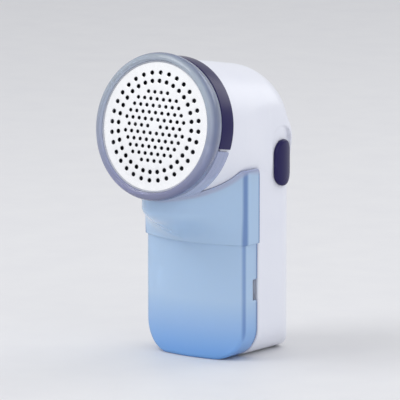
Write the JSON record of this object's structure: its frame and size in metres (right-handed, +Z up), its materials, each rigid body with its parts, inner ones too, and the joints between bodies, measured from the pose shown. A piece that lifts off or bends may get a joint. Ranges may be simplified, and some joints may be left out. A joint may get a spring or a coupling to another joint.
{
  "type": "fabric shaver",
  "caption": "Hand-held battery fabric shaver with a tilted round foil head, clear snap-off spacer ring, clear lint container and thumb slide switch.",
  "frame": {"origin": "centre of the handle's foot on the surface it stands on", "axes": "+Z up the handle, -Y the way the shaving head faces, +X the side with the slide switch"},
  "size_m": [0.0642, 0.0782, 0.1357],
  "materials": {
    "white_body": "satin moulded ABS, white with a faint lavender cast",
    "navy_trim": "gloss moulded ABS, navy",
    "clear_blue": "polished transparent tinted styrene",
    "clear_smoke": "polished transparent plastic, grey-blue",
    "foil_steel": "polished perforated stainless sheet",
    "blade_steel": "ground stainless blades",
    "white_inner": "moulded inner parts, light grey",
    "screw_steel": "zinc-plated screws and springs",
    "motor_steel": "plated drawn steel",
    "magnet_ferrite": "ferrite",
    "copper": "enamelled copper and bronze",
    "carbon": "carbon and black moulding",
    "contact_metal": "nickel-plated contact metal",
    "cell_jacket": "printed cell jacket, plain",
    "wire_red": "PVC insulation, red",
    "wire_black": "PVC insulation, black",
    "capacitor_orange": "dipped ceramic"
  },
  "bodies": {
    "body": {"rear_shell": "white_body", "front_panel": "white_body", "housing_screws": "screw_steel", "head_sleeve": "white_body", "head_collar": "navy_trim", "cutter_chamber": "white_inner", "motor_bracket": "white_inner", "chamber_screws": "screw_steel", "motor_can": "motor_steel", "motor_end_cap": "white_inner", "motor_bushes": "copper", "motor_magnets": "magnet_ferrite", "motor_brushes": "carbon", "motor_terminals": "contact_metal", "suppression_capacitor": "capacitor_orange", "switch_body": "carbon", "switch_terminals": "contact_metal", "battery_tray": "white_inner", "battery_left": "cell_jacket", "battery_right": "cell_jacket", "contact_bridge": "contact_metal", "contact_positive": "contact_metal", "contact_negative": "contact_metal", "contact_spring_lower": "screw_steel", "contact_spring_upper": "screw_steel", "wire_red": "wire_red", "wire_black": "wire_black", "wire_link": "wire_black"},
    "rotor": {"cutter_hub": "white_inner", "cutter_blades": "blade_steel", "cutter_spring": "screw_steel", "drive_coupler": "white_inner", "motor_shaft": "motor_steel", "armature_core": "motor_steel", "armature_windings": "copper", "commutator": "copper"},
    "foil_unit": {"foil_frame": "white_inner", "foil": "foil_steel"},
    "guard": {"guard_ring": "clear_smoke"},
    "container": {"lint_container": "clear_blue"},
    "door": {"battery_door": "white_body"},
    "switch": {"switch_button": "navy_trim", "switch_carrier": "white_inner", "switch_lever": "white_inner"}
  },
  "joints": [
    {"name": "cutter_spin", "type": "hinge", "parent": "body", "child": "rotor", "pos_m": [0, -0.046, 0.1043], "axis": [0, -0.9848, 0.1736], "continuous": true},
    {"name": "foil_twist", "type": "hinge", "parent": "body", "child": "foil_unit", "pos_m": [0, -0.046, 0.1043], "axis": [0, -0.9848, 0.1736], "range_deg": [0, 20]},
    {"name": "guard_pull", "type": "slide", "parent": "foil_unit", "child": "guard", "axis": [0, -0.9848, 0.1736], "range_m": [0, 0.025]},
    {"name": "container_slide", "type": "slide", "parent": "body", "child": "container", "axis": [0, 0, -1], "range_m": [0, 0.1]},
    {"name": "door_slide", "type": "slide", "parent": "body", "child": "door", "axis": [0, 0, -1], "range_m": [0, 0.072]},
    {"name": "switch_travel", "type": "slide", "parent": "body", "child": "switch", "axis": [0, 0, 1], "range_m": [0, 0.005]}
  ]
}
